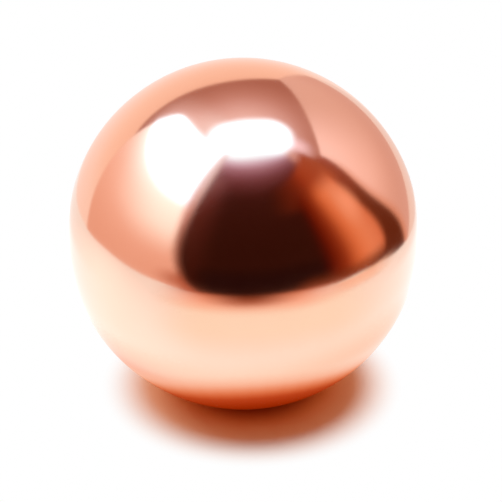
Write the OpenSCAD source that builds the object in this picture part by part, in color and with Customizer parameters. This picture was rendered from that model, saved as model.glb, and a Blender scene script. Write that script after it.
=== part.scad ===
// Polished copper sphere.
// One solid ball, turned, ground and mirror polished, with no seam, hole or flat.
// Millimetres, origin at the centre of the ball, +Z up.

/* [Sphere] */
// Diameter of the ball
sphere_d = 50; // [10:1:150]

/* [Hidden] */
// Segments round a great circle, for a smooth preview
$fn = 180;

// Polished copper, red, green and blue
copper_colour = [0.93, 0.62, 0.48];

// The ball: one true spherical surface and nothing else
module copper_sphere() {
    color(copper_colour)
        sphere(d = sphere_d);
}

copper_sphere();
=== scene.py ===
"""Polished copper sphere: its finish, a plain pale table, soft studio light and the camera.

Metres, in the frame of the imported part: origin at the centre of the ball, +Z up, +Y away from the camera.
Directions round the ball are given in degrees as an azimuth, 0 towards the camera and 90 to its right, and
an elevation over the horizon.
"""

import math

import bpy
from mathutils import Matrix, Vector


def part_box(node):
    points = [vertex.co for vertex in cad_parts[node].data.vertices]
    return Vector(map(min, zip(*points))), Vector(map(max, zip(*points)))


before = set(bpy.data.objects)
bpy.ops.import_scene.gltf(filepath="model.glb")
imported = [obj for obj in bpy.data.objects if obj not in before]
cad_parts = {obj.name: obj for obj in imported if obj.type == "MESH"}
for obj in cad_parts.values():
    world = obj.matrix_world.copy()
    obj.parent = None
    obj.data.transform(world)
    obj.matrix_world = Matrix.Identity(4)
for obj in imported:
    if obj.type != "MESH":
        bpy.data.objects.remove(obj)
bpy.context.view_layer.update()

# Sizes taken from the frame
ball_low, ball_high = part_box("copper_sphere")
RADIUS = (ball_high.z - ball_low.z) / 2
CENTRE = (ball_low + ball_high) / 2

# The camera: the ball's place in the 502 pixel square of the photograph, and how it is looked at
PHOTO_SIDE = 502
BALL_X_PX = 243.4
BALL_Y_PX = 233.8
BALL_RADIUS_PX = 176
VIEW_ELEVATION = 27
VIEW_DISTANCE = 9 * RADIUS
SENSOR_MM = 36
CLIP_START = 0.1 * RADIUS
CLIP_END = 1000 * RADIUS

# The copper's finish: its clouds of tone, and the roughness that it has over the span of its bloom
COPPER_TONES = [(0.35, 0.95, 0.625, 0.48), (0.65, 0.96, 0.655, 0.515)]
BLOOM_SPAN = (0.3, 0.7)
ROUGHNESS_SPAN = (0.085, 0.125)

# Its polishing marks: how deep they are, and the share of fine grain in them
MARK_DEPTH = 0.00002
GRAIN_SHARE = 0.05

# How often its clouds, bloom, waves and grain come, in cycles per metre
CLOUD_SCALE = 60
BLOOM_SCALE = 90
WAVE_SCALE = 110
GRAIN_SCALE = 1400

# The outline of the table that the ball stands on, in radii of the ball, and the steps between its points
TABLE_OUTLINE = (
    (0, 4.1), (-4.8, 3.5), (-6.6, 2.3), (-8.1, -0.5), (-6.4, -3.6), (-4, -5),
    (0, -5.8), (3.1, -4.9), (4.45, -3.4), (5.3, -1.5), (4.4, 0.7), (2.8, 2.4),
)
TABLE_STEPS = 12

# The ball's shadow on the table, out to where the table is plain white, and the painted shade in the table's
# colour within it: darker and warmer towards the ball, a painted contact shadow and copper glow
SHADOW_MIDDLE = (0.05 * RADIUS, 0.02 * RADIUS, ball_low.z)
SHADOW_INNER = 0.60 * RADIUS
SHADOW_OUTER = 0.91 * RADIUS
PAINTED_SHADE_TONES = [
    (0.35, 0.29, 0.07, 0.003), (0.48, 0.88, 0.43, 0.15),
    (0.6, 0.98, 0.66, 0.42), (0.75, 0.97, 0.82, 0.68),
]

# The light on the table
LAMP_COLOUR = (1.0, 0.82, 0.72)
FILL_COLOUR = (1.0, 0.30, 0.12)
FILL_STRENGTH = 0.40

# Steps along each side of a studio card
CARD_STEPS = 32


def towards(azimuth, elevation):
    """Unit vector from the ball in a direction given in degrees."""
    a = math.radians(azimuth)
    e = math.radians(elevation)
    return Vector((math.sin(a) * math.cos(e), -math.cos(a) * math.cos(e), math.sin(e)))


def along(points, share):
    """The place a share of the way along the smooth curve through evenly spread points."""
    place = Vector((0, 0))
    for i, point in enumerate(points):
        weight = 1
        for j in range(len(points)):
            if j != i:
                weight *= (share * (len(points) - 1) - j) / (i - j)
        place += weight * Vector(point)
    return place


def smooth_loop(points, steps):
    """Points of the smooth closed curve through some points, with a number of steps from each to the next."""
    loop = []
    for i in range(len(points)):
        before, here, there, after = (Vector(points[(i + k) % len(points)]) for k in (-1, 0, 1, 2))
        for step in range(steps):
            share = step / steps
            bend = 2 * before - 5 * here + 4 * there - after
            turn = 3 * here - before - 3 * there + after
            loop.append(here + (share * (there - before) + share ** 2 * bend + share ** 3 * turn) / 2)
    return loop


def link_object(name, data):
    """Puts new data into the scene as an object."""
    made = bpy.data.objects.new(name, data)
    bpy.context.scene.collection.objects.link(made)
    return made


def new_material(name):
    """An empty node material with its output node, whose glow is not taken for a lamp."""
    material = bpy.data.materials.new(name)
    material.cycles.emission_sampling = "NONE"
    material.use_nodes = True
    nodes = material.node_tree.nodes
    nodes.clear()
    output = nodes.new("ShaderNodeOutputMaterial")
    return material, nodes, material.node_tree.links, output


def map_range(nodes, links, value, low, high, to_low=0.0, to_high=1.0, smooth=False):
    """A Map Range node on a value, clamped. Returns its output socket."""
    node = nodes.new("ShaderNodeMapRange")
    node.interpolation_type = "SMOOTHSTEP" if smooth else "LINEAR"
    links.new(value, node.inputs["Value"])
    node.inputs["From Min"].default_value = low
    node.inputs["From Max"].default_value = high
    node.inputs["To Min"].default_value = to_low
    node.inputs["To Max"].default_value = to_high
    return node.outputs["Result"]


def maths(nodes, links, operation, first, second):
    """A Math node on two sockets or numbers. Returns its output socket."""
    node = nodes.new("ShaderNodeMath")
    node.operation = operation
    for socket, value in zip(node.inputs, (first, second)):
        if isinstance(value, (int, float)):
            socket.default_value = value
        else:
            links.new(value, socket)
    return node.outputs["Value"]


def noise(nodes, links, place, scale, detail):
    """A noise texture at a scale in cycles per metre. Returns its value socket."""
    node = nodes.new("ShaderNodeTexNoise")
    node.inputs["Scale"].default_value = scale
    node.inputs["Detail"].default_value = detail
    links.new(place, node.inputs["Vector"])
    return node.outputs["Fac"]


def colour_ramp(nodes, links, value, stops):
    """A smooth colour ramp on a value, with stops of (place, red, green, blue). Returns its colour socket."""
    node = nodes.new("ShaderNodeValToRGB")
    ramp = node.color_ramp
    ramp.interpolation = "B_SPLINE"
    while len(ramp.elements) < len(stops):
        ramp.elements.new(0.5)
    for element, (at, red, green, blue) in zip(ramp.elements, stops):
        element.position = at
        element.color = (red, green, blue, 1)
    links.new(value, node.inputs["Fac"])
    return node.outputs["Color"]


def copper_material():
    """Mirror-polished copper: faint clouds of tone, a soft bloom in places, and the last polishing marks."""
    material, nodes, links, output = new_material("polished_copper_finish")
    shader = nodes.new("ShaderNodeBsdfPrincipled")
    shader.inputs["Metallic"].default_value = 1.0
    place = nodes.new("ShaderNodeTexCoord").outputs["Object"]

    clouds = noise(nodes, links, place, CLOUD_SCALE, detail=4)
    links.new(colour_ramp(nodes, links, clouds, COPPER_TONES), shader.inputs["Base Color"])

    bloom = noise(nodes, links, place, BLOOM_SCALE, detail=5)
    roughness = map_range(nodes, links, bloom, *BLOOM_SPAN, *ROUGHNESS_SPAN)
    links.new(roughness, shader.inputs["Roughness"])

    waves = noise(nodes, links, place, WAVE_SCALE, detail=1)
    grain = noise(nodes, links, place, GRAIN_SCALE, detail=3)
    marks = maths(nodes, links, "ADD", waves, maths(nodes, links, "MULTIPLY", grain, GRAIN_SHARE))
    bump = nodes.new("ShaderNodeBump")
    bump.inputs["Strength"].default_value = 1.0
    bump.inputs["Distance"].default_value = MARK_DEPTH
    links.new(marks, bump.inputs["Height"])
    links.new(bump.outputs["Normal"], shader.inputs["Normal"])

    links.new(shader.outputs["BSDF"], output.inputs["Surface"])
    return material


def true_normals(ball):
    """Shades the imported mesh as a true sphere: each normal points straight away from the ball's centre."""
    normals = ball.modifiers.new("true_normals", "NORMAL_EDIT")
    normals.mode = "RADIAL"


def one_tone(red, green, blue):
    """The stops of a card that has one tone all over."""
    return [(0, red, green, blue), (1, red, green, blue)]


def card_material(name, stops, rounding, edge, cover, lengthwise):
    """Glowing card with round corners and a soft edge.

    Its stops run from its first edge to its last, or lengthwise from its start to its end. rounding is the
    share of the card that its corners take up at its start, its end, its first edge and its last edge. edge
    is the share of those over which it fades, and cover is how much it hides of what is behind it.
    """
    material, nodes, links, output = new_material(name)
    split = nodes.new("ShaderNodeSeparateXYZ")
    links.new(nodes.new("ShaderNodeUVMap").outputs["UV"], split.inputs["Vector"])
    glow = nodes.new("ShaderNodeEmission")
    place = split.outputs["X" if lengthwise else "Y"]
    strength = max(max(colour) for at, *colour in stops)
    shares = [(at, red / strength, green / strength, blue / strength) for at, red, green, blue in stops]
    links.new(colour_ramp(nodes, links, place, shares), glow.inputs["Color"])
    glow.inputs["Strength"].default_value = strength

    start, end, first, last = rounding
    into_corner = []
    for value, near, far in ((split.outputs["X"], start, end), (split.outputs["Y"], first, last)):
        to_near = map_range(nodes, links, value, near, 0)
        to_far = map_range(nodes, links, value, 1 - far, 1)
        nearest = maths(nodes, links, "MAXIMUM", to_near, to_far)
        into_corner.append(maths(nodes, links, "POWER", nearest, 2))
    reach = maths(nodes, links, "SQRT", maths(nodes, links, "ADD", *into_corner), 0)
    shown = map_range(nodes, links, reach, 1, 1 - edge, to_high=cover, smooth=True)
    clear = nodes.new("ShaderNodeBsdfTransparent")
    mix = nodes.new("ShaderNodeMixShader")
    links.new(shown, mix.inputs["Fac"])
    links.new(clear.outputs["BSDF"], mix.inputs[1])
    links.new(glow.outputs["Emission"], mix.inputs[2])
    links.new(mix.outputs["Shader"], output.inputs["Surface"])
    return material


def card(name, point_at, stops, rounding, edge=1, cover=1, lengthwise=False):
    """A studio card: a sheet of quads that shows in polished surfaces and nowhere else.

    point_at(s, t) gives its points, for s from start to end and t from first edge to last, both 0 to 1.
    """
    mesh = bpy.data.meshes.new(name)
    count = CARD_STEPS + 1
    points = [point_at(i / CARD_STEPS, j / CARD_STEPS) for j in range(count) for i in range(count)]
    faces = []
    for j in range(CARD_STEPS):
        for i in range(CARD_STEPS):
            corner = j * count + i
            faces.append((corner, corner + 1, corner + count + 1, corner + count))
    mesh.from_pydata(points, [], faces)
    layer = mesh.uv_layers.new(name="card")
    for loop in mesh.loops:
        index = loop.vertex_index
        layer.data[loop.index].uv = ((index % count) / CARD_STEPS, (index // count) / CARD_STEPS)
    mesh.materials.append(card_material(name, stops, rounding, edge, cover, lengthwise))
    made = link_object(name, mesh)
    made.visible_camera = False
    made.visible_diffuse = False
    made.visible_shadow = False
    made.visible_transmission = False
    made.visible_volume_scatter = False


def curved_card(name, distance, edges, stops, rounding, **looks):
    """A card bent round the ball, at a distance from its centre.

    edges are its first edge, any lines across its middle and its last edge, each of which runs through
    points of (azimuth, elevation).
    """

    def point_at(s, t):
        azimuth, elevation = along([along(edge, s) for edge in edges], t)
        return CENTRE + towards(azimuth, elevation) * distance

    card(name, point_at, stops, rounding, **looks)


def level_card(name, middle, width, depth, turn, stops, rounding, **looks):
    """A level card over the ball, turned about the vertical. middle is its place from the ball's centre."""
    across = towards(90 + turn, 0) * width
    back = towards(180 + turn, 0) * depth

    def point_at(s, t):
        return CENTRE + Vector(middle) + across * (s - 0.5) + back * (t - 0.5)

    card(name, point_at, stops, rounding, **looks)


def over_table(x, y, lift):
    """A point over the table: its place from the ball's axis and its height, in radii of the ball."""
    return CENTRE + Vector((x, y, lift - 1)) * RADIUS


def disc_card(name, lift, middle, width, depth, stops, fade):
    """A level oval card over the table, with its sizes in radii of the ball.

    Its stops run from its middle to its rim, and fade is the share of that way over which it fades.
    """

    def point_at(s, t):
        spoke = towards(180 + 360 * s, 0) * t / 2
        return over_table(middle[0] + spoke.x * width, middle[1] + spoke.y * depth, lift)

    card(name, point_at, stops, (0, 0, 0, fade))


def arc_card(name, lift, azimuths, reaches, stops, rounding):
    """A level card over the table, with its sizes in radii of the ball.

    It runs round the ball from one azimuth to another, between two distances from the ball's axis.
    """

    def point_at(s, t):
        azimuth = azimuths[0] + s * (azimuths[1] - azimuths[0])
        spoke = towards(azimuth, 0) * (reaches[0] + t * (reaches[1] - reaches[0]))
        return over_table(spoke.x, spoke.y, lift)

    card(name, point_at, stops, rounding)


def wall_cards():
    """Far cards all round: pale copper fields, the lines between them, and the glow behind the softboxes."""
    curved_card(
        "ceiling", distance=0.95, edges=([(0, 22), (360, 22)], [(0, 90), (360, 90)]),
        stops=[
            (0.26, 0.42, 0.17, 0.13), (0.44, 0.55, 0.28, 0.24),
            (0.57, 0.65, 0.38, 0.36), (0.75, 0.90, 0.68, 0.70),
        ],
        rounding=(0, 0, 0, 0),
    )
    curved_card(
        "left_halo", distance=0.94, edges=([(-160, 26), (-100, 26)], [(-160, 78), (-100, 78)]),
        stops=[(0, 0.85, 0.60, 0.58), (0.6, 0.90, 0.68, 0.70), (1, 1.0, 0.95, 1.05)],
        rounding=(0.6, 0.1, 0.35, 0.1),
    )
    curved_card(
        "corner_glow", distance=0.93, edges=([(75, 49), (108, 49)], [(75, 70), (108, 70)]),
        stops=one_tone(1.05, 0.90, 1.12), rounding=(0.5, 0.5, 0.6, 0.1),
    )
    curved_card(
        "back_card", distance=0.92, edges=(
            [(-90, -40), (-196, -40)],
            [(-115, 24), (-142, 34), (-169, 41), (-195, 31)],
        ),
        stops=[(0.5, 1.04, 0.86, 0.80), (0.72, 1.05, 0.75, 0.62), (1, 1.0, 0.68, 0.56)],
        rounding=(0, 0.03, 0, 0.05),
    )
    curved_card(
        "left_card", distance=0.90, edges=([(-110, -40), (20, -40)], [(-133, 40), (20, 40)]),
        stops=[
            (0.4, 0.86, 0.48, 0.37), (0.58, 0.92, 0.54, 0.43), (0.76, 1.05, 0.70, 0.61),
            (0.88, 1.05, 1.0, 1.0), (1, 1.7, 1.9, 2.2),
        ],
        rounding=(0.02, 0, 0, 0.05),
    )
    curved_card(
        "right_back", distance=0.93, edges=([(100, -40), (200, -40)], [(100, 20), (200, 20)]),
        stops=one_tone(0.93, 0.76, 0.70), rounding=(0, 0, 0, 0),
    )
    right_top = [(84, 45), (112, 51.3), (140, 48.3), (168, 30)]
    curved_card(
        "right_card", distance=0.90, edges=([(84, -40), (112, -26), (140, -11.5), (168, 8)], right_top),
        stops=[(0.3, 0.76, 0.45, 0.38), (0.6, 0.82, 0.53, 0.46), (1, 0.82, 0.56, 0.51)],
        rounding=(0, 0.03, 0, 0.03),
    )
    glow_top = [along(right_top, share) for share in (0, 0.4, 0.8)]
    curved_card(
        "right_glow", distance=0.88, edges=([(84, -12), (150, -12)], glow_top),
        stops=[(0, 0.90, 0.52, 0.42), (0.6, 1.08, 0.79, 0.76), (1, 1.12, 0.88, 0.90)],
        rounding=(0, 0.8, 0.5, 0.03),
    )


def light_cards():
    """Bright cards: the softboxes over the ball and to its left, and the light that they spread."""
    cool_white = one_tone(1.8, 2.8, 3.8)
    curved_card(
        "left_glow", distance=0.75, edges=([(-118, 2), (-40, 2)], [(-118, 44), (-36, 44)]),
        stops=[(0, 1.0, 0.75, 0.65), (0.5, 1.2, 1.2, 1.2), (1, 1.7, 1.7, 1.8)],
        rounding=(0.85, 0.15, 0.5, 0.3),
    )
    curved_card(
        "left_softbox", distance=0.70, edges=(
            [(-136, 35), (-103, 35), (-70, 34), (-36, 34)],
            [(-136, 46), (-119, 64), (-80, 75), (-36, 75)],
        ),
        stops=cool_white, rounding=(0.12, 0, 0.2, 0.12),
    )
    level_card(
        "top_softbox", middle=(0.045, 0, 0.60), width=0.58, depth=0.34, turn=10,
        stops=cool_white, rounding=(0.3, 0.3, 0.45, 0.45), edge=0.6,
    )


def dark_cards():
    """Dark flags in front, with the warm cards that glow between them, nearest last."""
    strip_edge = [(124.5, -20), (114.6, -2.5), (101.2, 15), (96.6, 32.5), (93.5, 50)]
    tint_inside = 9
    tint_outside = 5
    tint_first = [(azimuth - tint_inside, elevation) for azimuth, elevation in strip_edge]
    tint_last = [(azimuth + tint_outside, elevation) for azimuth, elevation in strip_edge]
    curved_card(
        "strip_tint", distance=0.58, edges=(tint_first, tint_last),
        stops=one_tone(0.75, 0.30, 0.16), rounding=(0, 0.3, 0, 0.6), cover=0.75,
    )
    curved_card(
        "side_flag", distance=0.57, edges=([(30, -25), (30, 76)], strip_edge),
        stops=[
            (0.3, 0.13, 0.026, 0.009), (0.5, 0.16, 0.034, 0.012),
            (0.65, 0.23, 0.047, 0.017), (1, 0.42, 0.11, 0.07),
        ],
        rounding=(0, 0.08, 0, 0.06), lengthwise=True,
    )
    curved_card(
        "edge_shade", distance=0.565, edges=([(-60, -14), (-28, -14)], [(-60, 2), (-28, 2)]),
        stops=one_tone(0.50, 0.15, 0.08), rounding=(0.8, 0.1, 0.5, 0.5),
    )
    curved_card(
        "warm_edge", distance=0.56, edges=(
            [(-36, -24), (-14, -24)],
            [(-49, 28), (-26, 28)],
            [(-49, 80), (-12, 80)],
        ),
        stops=[
            (0, 0.50, 0.14, 0.07), (0.4, 0.50, 0.16, 0.10), (0.6, 0.75, 0.43, 0.40),
            (0.75, 0.84, 0.73, 0.81), (1, 0.85, 0.85, 1.02),
        ],
        rounding=(0.35, 0, 0, 0.1), cover=0.97,
    )
    curved_card(
        "front_flag", distance=0.55, edges=(
            [(-16, -20), (74, -20)],
            [(-47.1, 5), (74, 5)],
            [(-45.2, 30), (74, 30)],
            [(-39.9, 55), (17, 55), (74, 53.7)],
            [(-36, 78.8), (6, 80.5), (45, 77.9), (80, 62.8)],
        ),
        stops=[
            (0.67, 0.03, 0.006, 0.003), (0.78, 0.125, 0.027, 0.023), (0.86, 0.33, 0.135, 0.20),
            (0.91, 0.78, 0.63, 0.93), (0.95, 1.15, 1.85, 2.35),
        ],
        rounding=(0.1, 0.12, 0.15, 0.04),
    )
    curved_card(
        "flag_tail", distance=0.545, edges=(
            [(-34, -10), (-12, -10)],
            [(-40, 27), (-14, 27)],
            [(-31, 66), (-3, 66)],
        ),
        stops=[
            (0.2, 0.038, 0.006, 0.003), (0.6, 0.10, 0.02, 0.013),
            (0.8, 0.17, 0.042, 0.037), (1, 0.34, 0.17, 0.22),
        ],
        rounding=(0.2, 0.8, 0.1, 0.15), cover=0.85,
    )
    curved_card(
        "front_foot", distance=0.54, edges=([(-28, -28), (82, -28)], [(-36, 8), (82, 8)]),
        stops=[(0, 0.012, 0.003, 0.003), (1, 0.02, 0.004, 0.003)], rounding=(0.13, 0.2, 0, 0.3),
    )
    curved_card(
        "warm_top", distance=0.52, edges=([(14, 32), (92, 30)], [(14, 54), (50, 57), (84, 63.8)]),
        stops=[
            (0.15, 0.05, 0.01, 0.005), (0.4, 0.12, 0.016, 0.005), (0.55, 0.24, 0.032, 0.01),
            (0.68, 0.40, 0.068, 0.02), (0.9, 0.40, 0.10, 0.045),
        ],
        rounding=(0.3, 0.07, 0.3, 0.2), lengthwise=True,
    )
    warm_left = [(47.8, -13.2), (42.8, 16.5), (37.5, 47)]
    warm_right = [(101.5, -13.2), (96.3, 6.3), (86, 26.7), (86.3, 47)]
    curved_card(
        "warm_card", distance=0.50, edges=(warm_left, warm_right),
        stops=[
            (0.1, 0.05, 0.002, 0.001), (0.36, 0.24, 0.018, 0.002), (0.54, 0.82, 0.215, 0.07),
            (0.74, 0.86, 0.34, 0.185), (0.95, 0.72, 0.19, 0.08),
        ],
        rounding=(0.15, 0.21, 0.25, 0.12),
    )
    curved_card(
        "low_glow", distance=0.497, edges=([(22, -22), (100, -25)], [(22, -2), (100, -3.5)]),
        stops=one_tone(0.38, 0.07, 0.012), rounding=(0.29, 0.3, 0, 0.8),
    )
    curved_card(
        "warm_core", distance=0.495, edges=([(70, 6), (94, 6)], [(65, 42), (86.5, 42)]),
        stops=one_tone(1.0, 0.45, 0.28), rounding=(0.5, 0.45, 0.5, 0.5), cover=0.9,
    )


def table_cards():
    """Cards over the table: painted light round the ball, painted shade at its front, right and beneath it.
    """
    # Painted pools of light on the table round the ball, seen only in the copper
    disc_card(
        "table_glow", lift=0.0005, middle=(-2, 0), width=15, depth=6.5,
        stops=one_tone(1.3, 1.28, 1.3), fade=1,
    )
    arc_card(
        "back_glow", lift=0.0007, azimuths=(70, 290), reaches=(1.1, 3.6),
        stops=one_tone(1.3, 1.32, 1.42), rounding=(0.32, 0.32, 0.35, 0.35),
    )
    # Painted warm light over the table in front of the ball and to its right
    arc_card(
        "painted_warm_light", lift=0.001, azimuths=(-55, 88), reaches=(1.2, 4.6),
        stops=[(0, 1.05, 1.04, 0.95), (0.5, 1.05, 1.02, 0.91), (1, 1.05, 0.98, 0.88)],
        rounding=(0.25, 0.3, 0.3, 0.2),
    )
    arc_card(
        "right_shade", lift=0.0012, azimuths=(40, 104), reaches=(3.5, 5.3),
        stops=[(0.15, 1.03, 0.82, 0.73), (0.7, 1.03, 0.70, 0.54)], rounding=(0.35, 0.45, 0.35, 0),
    )
    arc_card(
        "front_shade", lift=0.0013, azimuths=(-56, 70), reaches=(2.9, 6.6),
        stops=[
            (0.08, 1.04, 0.88, 0.76), (0.32, 1.02, 0.61, 0.47), (0.51, 0.95, 0.50, 0.36),
            (0.72, 0.85, 0.36, 0.23), (0.9, 0.45, 0.10, 0.04),
        ],
        rounding=(0.3, 0.35, 0.23, 0.12),
    )
    # Painted dark core of the shade at the table's front
    arc_card(
        "front_shade_core", lift=0.0016, azimuths=(-29, 36), reaches=(3.5, 6.6),
        stops=[
            (0.17, 0.55, 0.20, 0.12), (0.43, 0.37, 0.10, 0.044),
            (0.75, 0.14, 0.025, 0.008), (1, 0.02, 0.004, 0.002),
        ],
        rounding=(0.5, 0.5, 0.37, 0),
    )
    # Painted warm half-shade round the ball's foot, fading to white at its rim
    disc_card(
        "painted_warm_penumbra", lift=0.002, middle=(0.2, 0), width=3.4, depth=3,
        stops=[(0, 1.02, 0.78, 0.68), (0.5, 1.04, 0.90, 0.82), (1, 1.05, 1.05, 0.97)], fade=0.45,
    )
    # Painted soft edge of the contact shadow: a warm ring that fades to white
    disc_card(
        "painted_shadow_edge", lift=0.0023, middle=(-0.1, -0.02), width=2.6, depth=2.3,
        stops=[
            (0.45, 0.98, 0.50, 0.36), (0.56, 1.02, 0.64, 0.54),
            (0.68, 1.04, 0.92, 0.86), (0.85, 1.05, 1.05, 1.0),
        ],
        fade=0.4,
    )
    # Painted contact shadow under the ball, deep orange in its middle, seen only in the copper
    disc_card(
        "painted_contact_shadow", lift=0.0025, middle=(0.06, -0.03), width=1.9, depth=2.2,
        stops=[
            (0.3, 0.20, 0.012, 0), (0.58, 0.52, 0.045, 0.002),
            (0.7, 0.84, 0.27, 0.10), (0.82, 1.03, 0.70, 0.56),
        ],
        fade=0.26,
    )


def studio_lamps():
    """Two soft lamps where the softboxes are. They light the table round the ball."""
    for name, azimuth, elevation, distance, size, power in (
        ("top_lamp", 90, 86, 0.6, 0.55, 5.6),
        ("left_lamp", -92, 55, 0.7, 0.40, 2.0),
    ):
        data = bpy.data.lights.new(name, "AREA")
        data.shape = "DISK"
        data.size = size
        data.energy = power
        data.color = LAMP_COLOUR
        lamp = link_object(name, data)
        lamp.location = CENTRE + towards(azimuth, elevation) * distance
        lamp.rotation_mode = "QUATERNION"
        lamp.rotation_quaternion = (CENTRE - lamp.location).to_track_quat("-Z", "Y")
        lamp.visible_glossy = False
        lamp.visible_camera = False


def background_rays(nodes, links):
    """1 for the rays that see the background: the camera's, and those that metal or glass sends on."""
    path = nodes.new("ShaderNodeLightPath")
    seen = maths(nodes, links, "MAXIMUM", path.outputs["Is Camera Ray"], path.outputs["Is Glossy Ray"])
    return maths(nodes, links, "MAXIMUM", seen, path.outputs["Is Transmission Ray"])


def studio_world():
    """White where the camera, metal or glass looks past the cards, and a low warm fill for the table."""
    world = bpy.data.worlds.new("studio")
    bpy.context.scene.world = world
    world.use_nodes = True
    nodes = world.node_tree.nodes
    links = world.node_tree.links
    nodes.clear()
    fill = nodes.new("ShaderNodeBackground")
    fill.inputs["Color"].default_value = (*FILL_COLOUR, 1)
    fill.inputs["Strength"].default_value = FILL_STRENGTH
    white = nodes.new("ShaderNodeBackground")
    white.inputs["Color"].default_value = (1, 1, 1, 1)
    mix = nodes.new("ShaderNodeMixShader")
    output = nodes.new("ShaderNodeOutputWorld")
    links.new(background_rays(nodes, links), mix.inputs["Fac"])
    links.new(fill.outputs["Background"], mix.inputs[1])
    links.new(white.outputs["Background"], mix.inputs[2])
    links.new(mix.outputs["Shader"], output.inputs["Surface"])


def table_material():
    """Pale table top that keeps the ball's lamp shadow, with painted shade and a painted copper glow near the
    ball, and plain white past it.
    """
    material, nodes, links, output = new_material("pale_table")
    away = nodes.new("ShaderNodeVectorMath")
    away.operation = "DISTANCE"
    links.new(nodes.new("ShaderNodeTexCoord").outputs["Object"], away.inputs[0])
    away.inputs[1].default_value = SHADOW_MIDDLE
    distance = away.outputs["Value"]
    shade = nodes.new("ShaderNodeBsdfDiffuse")
    # Painted contact shadow and copper glow: the table's colour darkens and warms towards the ball
    share = map_range(nodes, links, distance, 0, SHADOW_OUTER)
    links.new(colour_ramp(nodes, links, share, PAINTED_SHADE_TONES), shade.inputs["Color"])
    white = nodes.new("ShaderNodeEmission")
    white.inputs["Color"].default_value = (1, 1, 1, 1)
    past = map_range(nodes, links, distance, SHADOW_INNER, SHADOW_OUTER, smooth=True)
    plain = maths(nodes, links, "MULTIPLY", past, background_rays(nodes, links))
    mix = nodes.new("ShaderNodeMixShader")
    links.new(plain, mix.inputs["Fac"])
    links.new(shade.outputs["BSDF"], mix.inputs[1])
    links.new(white.outputs["Emission"], mix.inputs[2])
    links.new(mix.outputs["Shader"], output.inputs["Surface"])
    return material


def table():
    """The table top, level with the lowest point of the ball."""
    points = []
    for place in smooth_loop(TABLE_OUTLINE, TABLE_STEPS):
        points.append((CENTRE.x + place.x * RADIUS, CENTRE.y + place.y * RADIUS, ball_low.z))
    mesh = bpy.data.meshes.new("table")
    mesh.from_pydata(points, [], [range(len(points))])
    mesh.materials.append(table_material())
    link_object("table", mesh)


def camera():
    """The camera, turned so that the ball sits where the photograph has it."""
    data = bpy.data.cameras.new("camera")
    data.sensor_width = SENSOR_MM
    edge_slope = math.tan(math.asin(RADIUS / VIEW_DISTANCE))
    focal_px = BALL_RADIUS_PX / edge_slope
    data.lens = focal_px * SENSOR_MM / PHOTO_SIDE
    data.clip_start = CLIP_START
    data.clip_end = CLIP_END
    eye = link_object("camera", data)
    eye.location = CENTRE + towards(0, VIEW_ELEVATION) * VIEW_DISTANCE
    right = Vector((1, 0, 0))
    up = towards(180, 90 - VIEW_ELEVATION)
    metres_per_px = VIEW_DISTANCE / focal_px
    aim = CENTRE + right * (PHOTO_SIDE / 2 - BALL_X_PX) * metres_per_px
    aim -= up * (PHOTO_SIDE / 2 - BALL_Y_PX) * metres_per_px
    eye.rotation_mode = "QUATERNION"
    eye.rotation_quaternion = (aim - eye.location).to_track_quat("-Z", "Y")
    bpy.context.scene.camera = eye


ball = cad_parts["copper_sphere"]
ball.data.materials.clear()
ball.data.materials.append(copper_material())
true_normals(ball)

camera()
table()
wall_cards()
light_cards()
dark_cards()
table_cards()
studio_lamps()
studio_world()
bpy.context.scene.view_settings.view_transform = "Standard"
